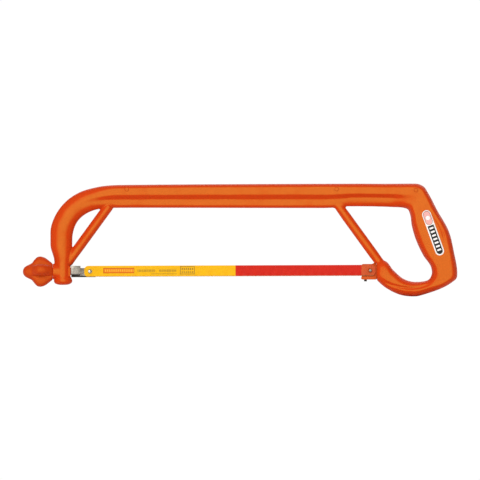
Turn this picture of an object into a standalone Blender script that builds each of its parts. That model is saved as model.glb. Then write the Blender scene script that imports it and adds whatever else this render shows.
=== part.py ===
"""An insulated hacksaw: a steel bow and a cast handle under a moulded skin, with its tensioner and blade.

Everything is worked out in design coordinates, in millimetres: x runs back from the tip of the wing nut,
y runs from the near side to the far side, and z runs up from the lowest point of the handle. world()
takes them to the object's own frame: metres, +X towards the handle, +Z up, and the origin at the centre
of the base.

A ribbon is a bar that lies in the plane of the saw. Each station of a ribbon gives its outer edge and its
inner edge (x, z), its half thickness along the outer and the inner edge, and the depth over which the
edges are rounded.
"""

import math

import bmesh
import bpy
from mathutils import Vector

MM = 0.001

# Driving dimensions, in mm.
LENGTH = 465.9  # wing nut tip to heel
AXIS_Z = 28.05  # the blade, the drawbar and the wing nut share this height
GAP = 0.3  # between pieces that touch
COAT = 2.2  # thickness of the moulded skin
TUBE_WALL = 1.5
ROUND_SIDES = 24

# Blade: the standard 300 mm hand hacksaw blade.
HOLE_PITCH = 300.0
FRONT_HOLE_X = 72.0
REAR_HOLE_X = FRONT_HOLE_X + HOLE_PITCH
HOLE_RADIUS = 2.25
BLADE_END = 6.25  # hole centre to blade end
BLADE_WIDTH = 12.0
BLADE_THICKNESS = 0.65
BLADE_CORNER = 4.5
PIN_RADIUS = 1.5
PIN_BEARING = 0.65  # each pin stands this far off its hole's centre, pulling the blade tight
PIN_PROUD = 3.2
SEAT_Y = BLADE_THICKNESS / 2 + GAP  # the blade lies against the seats at this depth

# Front post and tensioner.
POST_X = 42.45
POST_FOOT_Z = 22.3
SOCKET_TOP_Z = 43.0
SOCKET_FOOT_Z = 17.2
SOCKET_SPIGOT_Z = 53.0
SOCKET_SPIGOT_RADIUS = 4.2
SHANK = 8.0  # across the flats of the square shank
SHANK_X = (33.0, 52.0)
TAIL_RADIUS = 3.9  # M8 thread
TAIL_X = (11.5, 33.6)
DRAWBAR_BLOCK = ((51.4, 61.8), (-6.0, 6.0), (25.0, 34.1))
DRAWBAR_LEDGE = ((51.9, 78.0), (1.6, 5.7), (21.9, 25.6))
DRAWBAR_TONGUE = ((61.0, 77.4), (SEAT_Y, 5.4), (23.3, 31.7))
DRAWBAR_COLLAR = ((46.0, 51.05), (-6.4, 6.4), (22.8, 33.4))  # the skin round the shank's hole
BOSS_RADIUS = 8.1
BOSS_FACE_X = 31.95
BOSS_BACK_X = 39.05
NUT_FACE_X = 31.7
LOBES = 4
LOBE_TURN = math.radians(11)  # how far the near lobe stands above the level
NUT_PROFILE = (  # x, hub radius, lobe radius
    (0.0, 1.4, 1.4),
    (0.9, 3.4, 3.4),
    (2.8, 5.5, 5.5),
    (6.0, 7.3, 7.3),
    (9.4, 8.5, 9.2),
    (12.6, 8.8, 13.0),
    (15.8, 8.8, 16.0),
    (18.9, 8.8, 16.7),
    (22.2, 8.8, 15.8),
    (29.0, 8.3, 11.0),
    (NUT_FACE_X, 8.1, 8.4),
)
INSERT_RADIUS = 6.2
INSERT_X = (10.3, 29.3)
WASHER_RADIUS = 7.1
WASHER_X = (29.9, 31.65)
CAP_X = 43.05
CAP_RADIUS = 9.9
CAP_FOOT_Z = 13.7
CAP_DOME_DEPTH = 3.4
CAP_POCKET_RADIUS = 7.1

# Struts: (x, z) where each centre line starts and ends.
ROD_RADIUS = 3.0
STRUT_RADIUS = 5.1
FRONT_STRUT = ((49.6, 39.6), (94.2, 100.5))
REAR_STRUT = ((386.0, 31.8), (337.6, 99.0))
REAR_SLEEVE_SETBACK = 8.5  # keeps the sleeve clear of the blade anchor

# Bow: the post, the bend and the bar. Each row is outer x, outer z, inner x, inner z, outer half thickness,
# inner half thickness, and rounding depth.
BOW = (
    (34.1, 16.0, 50.9, 16.0, 9.0, 9.0, 8.2),
    (34.1, 28.0, 50.9, 28.0, 9.0, 9.0, 8.2),
    (33.5, 41.0, 51.6, 40.5, 9.0, 9.0, 8.8),
    (29.6, 57.0, 53.0, 55.5, 9.0, 9.0, 11.5),
    (29.6, 70.0, 53.5, 67.0, 9.0, 9.0, 11.6),
    (34.8, 88.0, 57.8, 80.0, 9.0, 9.0, 11.6),
    (47.2, 104.0, 66.6, 89.0, 8.8, 8.8, 11.6),
    (60.0, 112.5, 75.8, 93.4, 8.7, 8.2, 10.5),
    (78.5, 118.2, 88.0, 95.6, 8.6, 6.5, 7.5),
    (104.0, 120.7, 106.0, 96.1, 8.5, 4.7, 4.4),
    (300.0, 121.2, 300.0, 95.2, 8.5, 4.6, 4.0),
    (330.0, 121.2, 330.0, 95.1, 8.5, 4.6, 4.0),
    (352.0, 121.2, 352.0, 96.8, 8.5, 4.9, 4.6),
    (396.0, 121.0, 396.0, 95.9, 9.2, 6.2, 5.6),
)

# Handle: the corner, the grip, the heel, the lower arm and the nose, in the same order of numbers.
HANDLE = (
    (396.0, 121.0, 396.0, 95.9, 9.2, 6.2, 5.6),
    (421.2, 121.1, 409.8, 94.7, 11.4, 10.2, 7.2),
    (430.2, 117.9, 413.6, 92.8, 12.2, 11.6, 7.8),
    (434.9, 111.0, 415.5, 87.6, 12.8, 12.4, 8.4),
    (444.4, 92.8, 417.2, 76.0, 13.5, 13.5, 9.4),
    (456.9, 70.0, 421.9, 60.0, 13.5, 13.5, 10.0),
    (462.4, 47.6, 429.2, 44.4, 13.5, 13.5, 10.0),
    (465.9, 25.0, 438.1, 30.0, 13.0, 13.0, 10.0),
    (465.0, 19.2, 438.7, 25.6, 12.8, 12.8, 10.0),
    (459.6, 14.6, 437.6, 21.4, 12.6, 12.6, 9.8),
    (433.5, 3.1, 427.8, 16.0, 12.0, 12.0, 7.2),
    (420.0, 0.0, 420.4, 15.7, 11.8, 11.8, 7.0),
    (406.0, 1.4, 409.0, 18.6, 11.4, 11.4, 7.4),
    (390.6, 8.4, 397.2, 28.4, 10.2, 10.2, 8.0),
    (380.6, 16.6, 385.0, 39.6, 9.2, 9.2, 8.4),
    (378.4, 19.0, 377.6, 39.0, 8.6, 8.6, 8.0),
)
SPAN_STEPS = 2
ARC_STEPS = 3
EDGE_SHARE = 0.47  # the deepest that an edge's rounding reaches into a ribbon
STEP_LOW = 0.36  # where the thin lower flange of the bar ends, as a share of its height
STEP_HIGH = 0.50  # where the thick upper rail begins

# Joint between the bow tube and the handle core.
SKIN_JOINT_X = 396.0
TUBE_END_X = 393.0
SPIGOT = ((372.0, 398.0), (-3.1, 3.1), (110.5, 115.5))
THROUGH_Y = (-9.0, 9.0)  # a hole with this reach passes through the steel from side to side
RIVET_RADIUS = 1.8
RIVET_SIDES = 12
BOW_RIVET_Y = (-5.8, 5.8)
BOW_RIVETS = {"bow_rivet_front": 379.0, "bow_rivet_rear": 388.0}
BOW_RIVET_Z = 113.1

# Rear blade anchor, set in the handle's nose.
ANCHOR_FRONT_X = 363.2
ANCHOR_PLATE_BACK_X = 379.2
ANCHOR_BACK_X = 393.0
ANCHOR_Z = (18.3, 35.0)
ANCHOR_TAIL_Z = (20.4, 29.2)
ANCHOR_THICKNESS = 5.0
LIP_FRONT_X = 362.7
LIP_BACK_X = 378.4
LIP_TOP_Z = 21.6
LIP_Y = -3.2
ANCHOR_RIVET_Y = (-5.7, 5.7)
ANCHOR_RIVETS = {"anchor_rivet_front": (384.9, 24.2), "anchor_rivet_rear": (390.0, 25.4)}
SET_SCREW_X = 367.4
SET_SCREW_Y = 2.025
SET_SCREW_RADIUS = 1.5
SET_SCREW_Z = (16.3, 21.0)
BLADE_ROOM = ((350.0, 379.45), (-30.0, 0.475), (19.5, 36.2))  # the blade's end lifts out through it

# Badge on the near side of the grip, and the plugs that close the mould's support holes.
BADGE_TOP = (431.6, 92.2)
BADGE_FOOT = (448.6, 44.2)
BADGE_WIDTH = 9.6
BADGE_Y = (-13.9, -12.4)
PLUG_RADIUS = 2.1
PLUG_DEPTH = 1.6
PLUG_PLACES = (("front", 111.6, 115.9, 8.5), ("middle", 336.8, 115.4, 8.5), ("rear", 422.0, 114.0, 11.3))

ORANGE = (0.80, 0.13, 0.015)
STEEL = (0.55, 0.56, 0.58)


def world(point):
    x, y, z = point
    return Vector((x - LENGTH / 2, y, z)) * MM


def make_material(name, color, roughness, metallic):
    material = bpy.data.materials.new(name)
    material.use_nodes = True
    shader = material.node_tree.nodes["Principled BSDF"]
    shader.inputs["Base Color"].default_value = (*color, 1.0)
    shader.inputs["Roughness"].default_value = roughness
    shader.inputs["Metallic"].default_value = metallic
    return material


def add_object(name, bm, material=None, origin=(LENGTH / 2, 0.0, 0.0)):
    """Makes an object of a bmesh in design coordinates, with its own origin at a design point."""
    base = world(origin)
    for vertex in bm.verts:
        vertex.co = world(vertex.co) - base
    bmesh.ops.recalc_face_normals(bm, faces=bm.faces)
    mesh = bpy.data.meshes.new(name)
    bm.to_mesh(mesh)
    bm.free()
    mesh.shade_smooth()
    mesh.set_sharp_from_angle(angle=math.radians(35))
    thing = bpy.data.objects.new(name, mesh)
    thing.location = base
    if material:
        mesh.materials.append(material)
    bpy.context.scene.collection.objects.link(thing)
    return thing


def add_helper(name, bm):
    """A shape that only cuts or extends another object."""
    helper = add_object(name, bm)
    helper.hide_render = True
    helper.display_type = "WIRE"
    return helper


def combine(target, operation, *helpers):
    for helper in helpers:
        modifier = target.modifiers.new(helper.name, "BOOLEAN")
        modifier.operation = operation
        modifier.object = helper
    return target


def cut(target, *helpers):
    return combine(target, "DIFFERENCE", *helpers)


def join(target, *helpers):
    return combine(target, "UNION", *helpers)


def tangent(before, after, length_before, length_after):
    """The slope at a station. It is level at a turning point, so that the curve never overshoots one."""
    if before * after <= 0:
        return 0.0
    mean = (before * length_after + after * length_before) / (length_before + length_after)
    return math.copysign(min(abs(mean), 3 * abs(before), 3 * abs(after)), before)


def smooth_stations(stations, steps=SPAN_STEPS):
    """Runs a smooth curve through the stations, treating every number of a station alike."""
    lengths = [math.dist(a[:4], b[:4]) for a, b in zip(stations, stations[1:])]
    slopes = [[(q - p) / d for p, q in zip(a, b)] for a, b, d in zip(stations, stations[1:], lengths)]
    tangents = [slopes[0]]
    for before, after, d0, d1 in zip(slopes, slopes[1:], lengths, lengths[1:]):
        tangents.append([tangent(p, q, d0, d1) for p, q in zip(before, after)])
    tangents.append(slopes[-1])
    rows = []
    for i, d in enumerate(lengths):
        for step in range(steps):
            t = step / steps
            slope_weights = (t**3 - 2 * t**2 + t) * d, (t**3 - t**2) * d
            weights = (2 * t**3 - 3 * t**2 + 1, 3 * t**2 - 2 * t**3, *slope_weights)
            parts = zip(stations[i], stations[i + 1], tangents[i], tangents[i + 1])
            rows.append([sum(w * value for w, value in zip(weights, values)) for values in parts])
    rows.append(list(stations[-1]))
    return rows


def ribbon_ring(row, inset):
    """The closed section of a ribbon at one station: its near side from inner to outer edge, and back."""
    outer = Vector((row[0], row[1]))
    inner = Vector((row[2], row[3]))
    width = (outer - inner).length - 2 * inset
    across = (outer - inner).normalized()
    start = inner + across * inset
    outer_half = row[4] - inset
    inner_half = row[5] - inset
    depth = min(row[6] - inset / 2, EDGE_SHARE * width)
    low = min(max(STEP_LOW * width, depth * 1.02), 0.49 * width)
    high = max(STEP_HIGH * width, low + 0.02 * width)
    arc = [math.pi / 2 * k / ARC_STEPS for k in range(ARC_STEPS + 1)]
    side = [(depth * (1 - math.cos(a)), inner_half * math.sin(a)) for a in arc]
    side += [(low, inner_half), (high, outer_half)]
    side += [(width - depth * (1 - math.cos(a)), outer_half * math.sin(a)) for a in reversed(arc)]
    ring = [(start + across * u, -y) for u, y in side]
    ring += [(start + across * u, y) for u, y in reversed(side[1:-1])]
    return [(p.x, y, p.y) for p, y in ring]


def skin_between(bm, rings):
    for near, far in zip(rings, rings[1:]):
        for k in range(len(near)):
            following = (k + 1) % len(near)
            bm.faces.new((near[k], near[following], far[following], far[k]))


def ribbon(stations, inset=0.0, bore_inset=None):
    """A solid ribbon, or a tube if bore_inset says how deep its bore lies under the outer surface."""
    bm = bmesh.new()
    rows = smooth_stations(stations)
    outside = [[bm.verts.new(p) for p in ribbon_ring(row, inset)] for row in rows]
    skin_between(bm, outside)
    if bore_inset is None:
        bm.faces.new(outside[0])
        bm.faces.new(outside[-1])
    else:
        inside = [[bm.verts.new(p) for p in ribbon_ring(row, bore_inset)] for row in rows]
        skin_between(bm, inside)
        for end in (0, -1):
            skin_between(bm, [outside[end], inside[end]])
    bmesh.ops.triangulate(bm, faces=bm.faces)  # the quads are slightly twisted, which a Boolean can't take
    return bm


def box(xs, ys, zs):
    bm = bmesh.new()
    bmesh.ops.create_cube(bm, size=1.0)
    for vertex in bm.verts:
        picked = [low if c < 0 else high for c, (low, high) in zip(vertex.co, (xs, ys, zs))]
        vertex.co = Vector(picked)
    return bm


def rod(start, end, radius, sides=ROUND_SIDES):
    """A round bar from one design point to another."""
    bm = bmesh.new()
    start = Vector(start)
    end = Vector(end)
    axis = end - start
    bmesh.ops.create_cone(
        bm, cap_ends=True, segments=sides, radius1=radius, radius2=radius, depth=axis.length
    )
    turn = axis.to_track_quat("Z", "Y").to_matrix().to_4x4()
    bmesh.ops.transform(bm, matrix=turn, verts=bm.verts)
    bmesh.ops.translate(bm, vec=(start + end) / 2, verts=bm.verts)
    return bm


def along_x(x0, x1, radius, y=0.0, z=AXIS_Z, sides=ROUND_SIDES):
    return rod((x0, y, z), (x1, y, z), radius, sides)


def along_y(y0, y1, radius, x, z, sides=ROUND_SIDES):
    return rod((x, y0, z), (x, y1, z), radius, sides)


def rivet_hole(x, z):
    return along_y(*THROUGH_Y, RIVET_RADIUS + GAP, x, z, RIVET_SIDES)


def prism(outline, y0, y1):
    """Extrudes an outline of (x, z) points from y0 to y1."""
    bm = bmesh.new()
    near = [bm.verts.new((x, y0, z)) for x, z in outline]
    far = [bm.verts.new((x, y1, z)) for x, z in outline]
    bm.faces.new(near)
    bm.faces.new(far)
    skin_between(bm, [near, far])
    return bm


def corner_arc(center, radius, first, last, steps=6):
    """Points round part of a circle, with angles in degrees from +x towards +z."""
    angles = [math.radians(first + (last - first) * k / steps) for k in range(steps + 1)]
    return [(center[0] + radius * math.cos(a), center[1] + radius * math.sin(a)) for a in angles]


def rounded_bar(x0, x1, z0, z1, radius, steps=6):
    outline = corner_arc((x1 - radius, z1 - radius), radius, 0, 90, steps)
    outline += corner_arc((x0 + radius, z1 - radius), radius, 90, 180, steps)
    outline += corner_arc((x0 + radius, z0 + radius), radius, 180, 270, steps)
    outline += corner_arc((x1 - radius, z0 + radius), radius, 270, 360, steps)
    return outline


def turned(profile, center, sides=ROUND_SIDES):
    """Turns a profile of (radius, z) points, from foot to top, about a vertical axis."""
    bm = bmesh.new()
    rings = []
    for radius, z in profile:
        angles = [2 * math.pi * k / sides for k in range(sides)]
        ring = [(center[0] + radius * math.cos(a), center[1] + radius * math.sin(a), z) for a in angles]
        rings.append([bm.verts.new(p) for p in ring])
    skin_between(bm, rings)
    bm.faces.new(rings[0])
    bm.faces.new(rings[-1])
    return bm


def make_bow(finish):
    """The bent tube, the socket brazed into its foot, and the moulded skin over both."""
    above_socket = [s for s in BOW if s[1] > SOCKET_TOP_Z + GAP and s[0] < TUBE_END_X]
    in_tube = [BOW_AT_SOCKET, *above_socket, BOW_AT_TUBE_END]
    steel_inset = COAT + GAP
    tube = add_object("bow_tube", ribbon(in_tube, steel_inset, steel_inset + TUBE_WALL), finish["steel"])
    for name, x in BOW_RIVETS.items():
        cut(tube, add_helper(f"{name}_tube_hole", rivet_hole(x, BOW_RIVET_Z)))

    foot = [BOW_AT_SOCKET_FOOT, BOW[1], BOW_BELOW_SOCKET_TOP]
    socket = add_object("front_socket", ribbon(foot, steel_inset), finish["steel"])
    spigot_ends = (POST_X, 0, SOCKET_TOP_Z - 4), (POST_X - 0.9, 0, SOCKET_SPIGOT_Z)
    join(socket, add_helper("socket_spigot", rod(*spigot_ends, SOCKET_SPIGOT_RADIUS)))
    cut(socket, add_helper("socket_bore", square_bar(30, 56, SHANK / 2 + GAP)))

    above_foot = [s for s in BOW if s[1] > POST_FOOT_Z and s[0] < TUBE_END_X]
    skin_rows = [BOW_AT_SKIN_FOOT, *above_foot, BOW_AT_JOINT]
    skin = add_object("bow_insulation", ribbon(skin_rows, 0.0, COAT), finish["skin"])
    rim = along_x(BOSS_FACE_X, CAP_X - CAP_RADIUS - GAP, BOSS_RADIUS)
    collar = add_helper("drawbar_collar", box(*DRAWBAR_COLLAR))
    join(skin, add_helper("nut_boss", boss_body()), add_helper("nut_boss_rim", rim), collar)
    bore = add_helper("skin_bore", square_bar(28, 56, SHANK / 2 + 2 * GAP))
    clearance = add_helper("socket_envelope", ribbon([BOW_BELOW_SKIN, BOW[1], BOW_BELOW_SOCKET_TOP], COAT))
    cut(skin, clearance, bore)
    return skin


def boss_body():
    """The round boss that carries the wing nut's thrust into the post. It stops above the cap."""
    bm = along_x(BOSS_FACE_X + 0.1, BOSS_BACK_X, BOSS_RADIUS - 0.1)
    above = Vector((0, 0, POST_FOOT_Z + GAP))
    everything = [*bm.verts, *bm.edges, *bm.faces]
    up = Vector((0, 0, 1))
    sliced = bmesh.ops.bisect_plane(bm, geom=everything, plane_co=above, plane_no=up, clear_inner=True)
    rim = [e for e in sliced["geom_cut"] if isinstance(e, bmesh.types.BMEdge)]
    bmesh.ops.contextual_create(bm, geom=rim)
    return bm


def square_bar(x0, x1, half):
    return box((x0, x1), (-half, half), (AXIS_Z - half, AXIS_Z + half))


def at_height(stations, z):
    """The station of the post at a height, in proportion between its two neighbours."""
    for a, b in zip(stations, stations[1:]):
        if a[1] <= z <= b[1]:
            t = (z - a[1]) / (b[1] - a[1])
            row = [p + (q - p) * t for p, q in zip(a, b)]
            row[1] = row[3] = z
            return tuple(row)
    raise ValueError(z)


def at_length(stations, x):
    """The station of the bar at a length, in proportion between its two neighbours."""
    for a, b in zip(stations, stations[1:]):
        if a[0] <= x <= b[0] and a[1] > 100:
            t = (x - a[0]) / (b[0] - a[0])
            row = [p + (q - p) * t for p, q in zip(a, b)]
            row[0] = row[2] = x
            return tuple(row)
    raise ValueError(x)


BOW_AT_SOCKET = at_height(BOW, SOCKET_TOP_Z + GAP)
BOW_BELOW_SOCKET_TOP = at_height(BOW, SOCKET_TOP_Z)
BOW_AT_SOCKET_FOOT = at_height(BOW, SOCKET_FOOT_Z)
BOW_AT_SKIN_FOOT = at_height(BOW, POST_FOOT_Z)
BOW_BELOW_SKIN = BOW[0]
BOW_AT_TUBE_END = at_length(BOW, TUBE_END_X)
BOW_AT_JOINT = at_length(BOW, SKIN_JOINT_X - GAP / 2)
HANDLE_AT_JOINT = at_length(HANDLE, SKIN_JOINT_X + GAP / 2)


def make_post_cap(finish):
    """The moulded cap pushed over the foot of the socket, under the post's skin."""
    top = POST_FOOT_Z - GAP
    angles = (0.35, 0.8, 1.2)
    dome = [(CAP_RADIUS * math.sin(a), CAP_FOOT_Z + CAP_DOME_DEPTH * (1 - math.cos(a))) for a in angles]
    side = [(CAP_RADIUS, 17.6), (CAP_RADIUS, top - 0.7), (CAP_RADIUS - 0.8, top)]
    profile = [(0.6, CAP_FOOT_Z), *dome, *side]
    cap = add_object("post_cap", turned(profile, (CAP_X, 0.0)), finish["skin"])
    pocket_ends = (POST_X, 0, SOCKET_FOOT_Z - GAP), (POST_X, 0, top + 2)
    cut(cap, add_helper("cap_pocket", rod(*pocket_ends, CAP_POCKET_RADIUS)))


def make_handle(finish):
    """The cast core with its spigot in the bow tube, and the moulded skin over it."""
    core_rows = [at_length(HANDLE, SKIN_JOINT_X + 0.5), *HANDLE[1:-1]]
    core = add_object("handle_core", ribbon(core_rows, COAT + GAP), finish["casting"])
    join(core, add_helper("core_spigot", box(*SPIGOT)))
    skin = add_object("handle_insulation", ribbon([HANDLE_AT_JOINT, *HANDLE[1:]]), finish["skin"])
    hollow_rows = [at_length(BOW, SKIN_JOINT_X - 4), *HANDLE[1:-1]]
    cut(skin, add_helper("core_envelope", ribbon(hollow_rows, COAT)))
    for name, x in BOW_RIVETS.items():
        cut(core, add_helper(f"{name}_core_hole", rivet_hole(x, BOW_RIVET_Z)))
        add_object(name, along_y(*BOW_RIVET_Y, RIVET_RADIUS, x, BOW_RIVET_Z, RIVET_SIDES), finish["steel"])
    return core, skin


def flat_to_space(point):
    return point[0], 0.0, point[1]


def make_strut(name, ends, finish, rod_cutters, skin_cutters, setback=0.0):
    """A steel rod between two members of the frame, and the sleeve of skin over it."""
    start, end = (Vector(flat_to_space(p)) for p in ends)
    core = add_object(f"{name}_rod", rod(start, end, ROD_RADIUS, 16), finish["steel"])
    cut(core, *rod_cutters)
    sleeve_start = start + (end - start).normalized() * setback
    sleeve = add_object(f"{name}_insulation", rod(sleeve_start, end, STRUT_RADIUS, 20), finish["skin"])
    cut(sleeve, *skin_cutters, add_helper(f"{name}_sleeve_bore", longer_rod(start, end, ROD_RADIUS + GAP)))


def longer_rod(start, end, radius):
    stretch = (end - start).normalized() * 8
    return rod(start - stretch, end + stretch, radius, 16)


def make_drawbar(finish):
    """The keyed bar that the wing nut draws forward, and the pin that holds the blade on it."""
    origin = (SHANK_X[1], 0.0, AXIS_Z)
    bar = add_object("drawbar", box(*DRAWBAR_BLOCK), finish["plated"], origin)
    shank = add_helper("drawbar_shank", square_bar(*SHANK_X, SHANK / 2))
    tail = add_helper("drawbar_tail", along_x(*TAIL_X, TAIL_RADIUS, sides=20))
    ledge = add_helper("drawbar_ledge", box(*DRAWBAR_LEDGE))
    tongue = add_helper("drawbar_tongue", box(*DRAWBAR_TONGUE))
    join(bar, shank, tail, ledge, tongue)
    pin_x = FRONT_HOLE_X - PIN_BEARING
    cut(bar, add_helper("front_pin_hole", along_y(-1, 9, PIN_RADIUS + GAP, pin_x, AXIS_Z)))
    pin = along_y(-PIN_PROUD, 5.0, PIN_RADIUS, pin_x, AXIS_Z)
    add_object("front_blade_pin", pin, finish["plated"], (pin_x, 0.0, AXIS_Z))


def nut_ring(x, hub, lobe, sides=40):
    """One ring of the wing nut: a round hub with lobes above, below and on each side."""
    ring = []
    for k in range(sides):
        angle = 2 * math.pi * k / sides
        share = (0.5 + 0.5 * math.cos(LOBES * (angle + LOBE_TURN))) ** 2
        radius = hub + (lobe - hub) * share
        ring.append((x, radius * math.sin(angle), AXIS_Z + radius * math.cos(angle)))
    return ring


def make_wing_nut(finish):
    """The moulded wing nut, its threaded insert, and the washer between it and the boss."""
    origin = (NUT_FACE_X, 0.0, AXIS_Z)
    bm = bmesh.new()
    rings = [[bm.verts.new(p) for p in nut_ring(*row)] for row in NUT_PROFILE]
    skin_between(bm, rings)
    bm.faces.new(rings[0])
    bm.faces.new(rings[-1])
    nut = add_object("wing_nut", bm, finish["skin"], origin)
    recess = add_helper("washer_recess", along_x(WASHER_X[0] - GAP, 40, WASHER_RADIUS + GAP + 0.1))
    pocket = add_helper("insert_pocket", along_x(INSERT_X[0] - GAP, 31, INSERT_RADIUS + GAP))
    cut(nut, pocket, recess)
    body = along_x(*INSERT_X, INSERT_RADIUS, sides=20)
    insert = add_object("wing_nut_insert", body, finish["brass"], origin)
    cut(insert, add_helper("insert_thread", along_x(5, 35, TAIL_RADIUS + GAP, sides=20)))
    washer = add_object("thrust_washer", along_x(*WASHER_X, WASHER_RADIUS), finish["steel"])
    cut(washer, add_helper("washer_bore", along_x(25, 35, SHANK / 2 + 2 * GAP)))


def make_blade(finish):
    low = AXIS_Z - BLADE_WIDTH / 2
    high = AXIS_Z + BLADE_WIDTH / 2
    outline = rounded_bar(FRONT_HOLE_X - BLADE_END, REAR_HOLE_X + BLADE_END, low, high, BLADE_CORNER)
    half = BLADE_THICKNESS / 2
    blade = add_object("blade", prism(outline, -half, half), finish["blade"], (FRONT_HOLE_X, 0.0, AXIS_Z))
    for name, x in (("front", FRONT_HOLE_X), ("rear", REAR_HOLE_X)):
        cut(blade, add_helper(f"{name}_blade_hole", along_y(-2, 2, HOLE_RADIUS, x, AXIS_Z)))


def anchor_plate(grow):
    """The part of the anchor that the blade lies against."""
    x0, z0, z1 = ANCHOR_FRONT_X - grow, ANCHOR_Z[0] - grow, ANCHOR_Z[1] + grow
    outline = rounded_bar(x0, ANCHOR_PLATE_BACK_X + grow, z0, z1, 1.6, 3)
    return prism(outline, SEAT_Y - grow, SEAT_Y + ANCHOR_THICKNESS + grow)


def anchor_tail(grow):
    """The thinner part of the anchor, held in the handle's nose by its rivets."""
    low, high = ANCHOR_TAIL_Z
    ys = (SEAT_Y + 0.3 - grow, SEAT_Y + ANCHOR_THICKNESS - 0.3 + grow)
    return box((ANCHOR_PLATE_BACK_X - 3, ANCHOR_BACK_X + grow), ys, (low - grow, high + grow))


def anchor_lip(grow):
    """The ledge under the blade's end."""
    low, high = ANCHOR_Z[0] + 0.1, LIP_TOP_Z
    outline = rounded_bar(LIP_FRONT_X - grow, LIP_BACK_X + grow, low - grow, high + grow, 1.5, 3)
    return prism(outline, LIP_Y - grow, SEAT_Y + 2.0)


def make_anchor(finish, core, skin):
    """The steel lug riveted in the handle's nose, with its blade pin and its set screw."""
    anchor = add_object("rear_anchor", anchor_plate(0.0), finish["coated"])
    join(anchor, add_helper("anchor_tail", anchor_tail(0.0)), add_helper("anchor_lip", anchor_lip(0.0)))
    pin_x = REAR_HOLE_X + PIN_BEARING
    pin_hole = add_helper("rear_pin_hole", along_y(-1, 9, PIN_RADIUS + GAP, pin_x, AXIS_Z))
    foot, head = ((SET_SCREW_X, SET_SCREW_Y, z) for z in SET_SCREW_Z)
    below, above = (SET_SCREW_X, SET_SCREW_Y, 10.0), (SET_SCREW_X, SET_SCREW_Y, SET_SCREW_Z[1] + GAP)
    screw_hole = add_helper("set_screw_hole", rod(below, above, SET_SCREW_RADIUS + GAP, 16))
    cut(anchor, pin_hole, screw_hole)
    pin = along_y(-PIN_PROUD, SEAT_Y + ANCHOR_THICKNESS - 0.2, PIN_RADIUS, pin_x, AXIS_Z)
    add_object("rear_blade_pin", pin, finish["plated"], (pin_x, 0.0, AXIS_Z))
    add_object("anchor_set_screw", rod(foot, head, SET_SCREW_RADIUS, 16), finish["black"])

    rooms = [
        add_helper("anchor_plate_room", anchor_plate(GAP)),
        add_helper("anchor_tail_room", anchor_tail(GAP + 0.1)),
        add_helper("anchor_lip_room", anchor_lip(GAP + 0.2)),
    ]
    cut(skin, *rooms, add_helper("blade_end_room", box(*BLADE_ROOM)))
    cut(core, *rooms)
    for name, (x, z) in ANCHOR_RIVETS.items():
        hole = add_helper(f"{name}_hole", rivet_hole(x, z))
        cut(core, hole)
        cut(anchor, hole)
        add_object(name, along_y(*ANCHOR_RIVET_Y, RIVET_RADIUS, x, z, RIVET_SIDES), finish["steel"])


def make_badge(finish, skin):
    """A pill-shaped badge, let into the near side of the grip."""
    top = Vector(BADGE_TOP)
    foot = Vector(BADGE_FOOT)
    tilt = math.degrees(math.atan2(top.y - foot.y, top.x - foot.x))

    def pill(radius):
        inner_top = top + (foot - top).normalized() * (BADGE_WIDTH / 2)
        inner_foot = foot + (top - foot).normalized() * (BADGE_WIDTH / 2)
        outline = corner_arc(inner_top, radius, tilt - 90, tilt + 90, 8)
        return outline + corner_arc(inner_foot, radius, tilt + 90, tilt + 270, 8)

    add_object("badge_plate", prism(pill(BADGE_WIDTH / 2), *BADGE_Y), finish["badge"])
    cut(skin, add_helper("badge_recess", prism(pill(BADGE_WIDTH / 2 + GAP), -20.0, BADGE_Y[1] + GAP)))


def make_plugs(finish, bow_skin, handle_skin):
    """Small plugs that close the holes where the mould held the steel core, three on each side."""
    for place, x, z, half in PLUG_PLACES:
        for side, sign in (("near", -1), ("far", 1)):
            hole = along_y(sign * (half - PLUG_DEPTH - 0.9), sign * 20, PLUG_RADIUS + GAP, x, z, 16)
            cutter = add_helper(f"plug_hole_{place}_{side}", hole)
            cut(handle_skin if place == "rear" else bow_skin, cutter)
            plug = along_y(sign * (half - PLUG_DEPTH), sign * half, PLUG_RADIUS, x, z, 16)
            add_object(f"support_plug_{place}_{side}", plug, finish["skin"])


def make_finishes():
    return {
        "skin": make_material("insulating skin", ORANGE, 0.42, 0.0),
        "coated": make_material("coated steel", (0.62, 0.16, 0.05), 0.45, 0.0),
        "steel": make_material("plain steel", STEEL, 0.4, 1.0),
        "casting": make_material("cast aluminium", (0.66, 0.67, 0.68), 0.5, 1.0),
        "plated": make_material("plated steel", (0.75, 0.74, 0.72), 0.25, 1.0),
        "brass": make_material("brass", (0.72, 0.55, 0.25), 0.3, 1.0),
        "blade": make_material("painted blade", (0.72, 0.05, 0.03), 0.4, 0.0),
        "black": make_material("blackened steel", (0.05, 0.05, 0.05), 0.5, 1.0),
        "badge": make_material("badge", (0.9, 0.88, 0.86), 0.3, 0.0),
    }


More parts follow.
